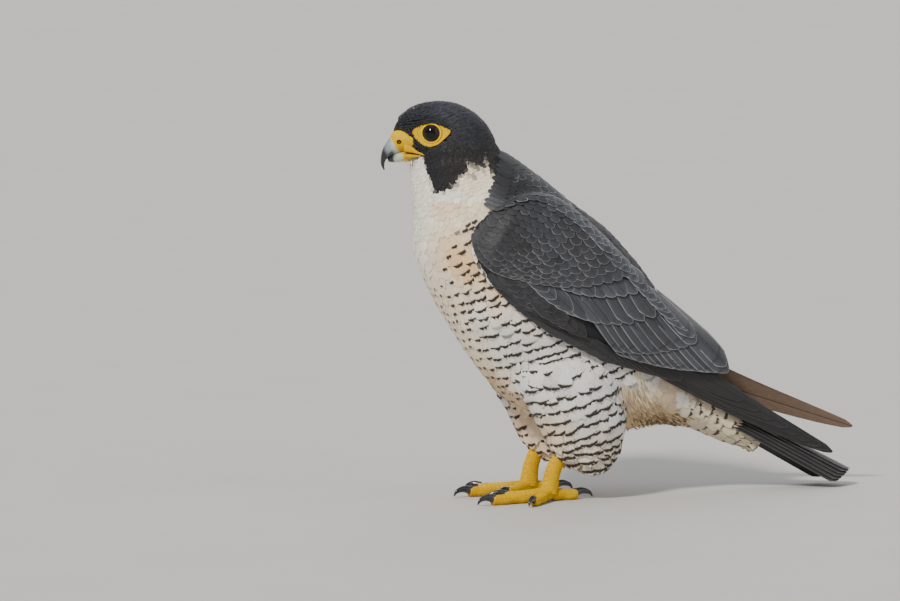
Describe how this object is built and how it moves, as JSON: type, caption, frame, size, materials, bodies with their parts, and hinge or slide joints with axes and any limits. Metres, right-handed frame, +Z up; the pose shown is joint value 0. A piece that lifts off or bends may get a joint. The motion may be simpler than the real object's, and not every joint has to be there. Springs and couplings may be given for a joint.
{
  "type": "peregrine falcon",
  "caption": "Peregrine falcon standing still on both feet, wings folded, head turned slightly to its right, life size, in faceted solids.",
  "frame": {"origin": "on the floor, under the middle of the bird's bounding box", "axes": "the bird faces -X, its left side is -Y, +Z is up; X is the longest direction"},
  "size_m": [0.3786, 0.135, 0.3002],
  "materials": {
    "crown_plumage": "blackish slate feathers, matte",
    "body_plumage": "cream feathers with dark spots and bars, matte",
    "thigh_plumage": "cream feathers with narrow dark bars, matte",
    "wing_coverts": "slate grey feathers with pale fringes, matte",
    "flight_feathers": "blackish brown vanes, satin",
    "tail_feathers": "dark grey vanes with faint bars, satin",
    "foot_scales": "yellow scaled skin, satin",
    "claw_horn": "black horn, glossy",
    "eye": "very dark brown, wet gloss",
    "cere_skin": "yellow bare skin, satin",
    "bill_horn": "blue grey horn with a black tip, semi-gloss"
  },
  "bodies": {
    "root": {"bill_lower": "bill_horn", "bill_upper": "bill_horn", "cere": "cere_skin", "claw_left_1": "claw_horn", "claw_left_2": "claw_horn", "claw_left_3": "claw_horn", "claw_left_4": "claw_horn", "claw_right_1": "claw_horn", "claw_right_2": "claw_horn", "claw_right_3": "claw_horn", "claw_right_4": "claw_horn", "eye_left": "eye", "eye_right": "eye", "head": "crown_plumage", "leg_left": "foot_scales", "leg_right": "foot_scales", "neck": "body_plumage", "tail": "tail_feathers", "thigh_left": "thigh_plumage", "thigh_right": "thigh_plumage", "toe_left_1": "foot_scales", "toe_left_2": "foot_scales", "toe_left_3": "foot_scales", "toe_left_4": "foot_scales", "toe_right_1": "foot_scales", "toe_right_2": "foot_scales", "toe_right_3": "foot_scales", "toe_right_4": "foot_scales", "torso": "body_plumage", "vent": "body_plumage", "wing_left_arm": "wing_coverts", "wing_left_hand": "flight_feathers", "wing_right_arm": "wing_coverts", "wing_right_hand": "flight_feathers"}
  },
  "joints": []
}
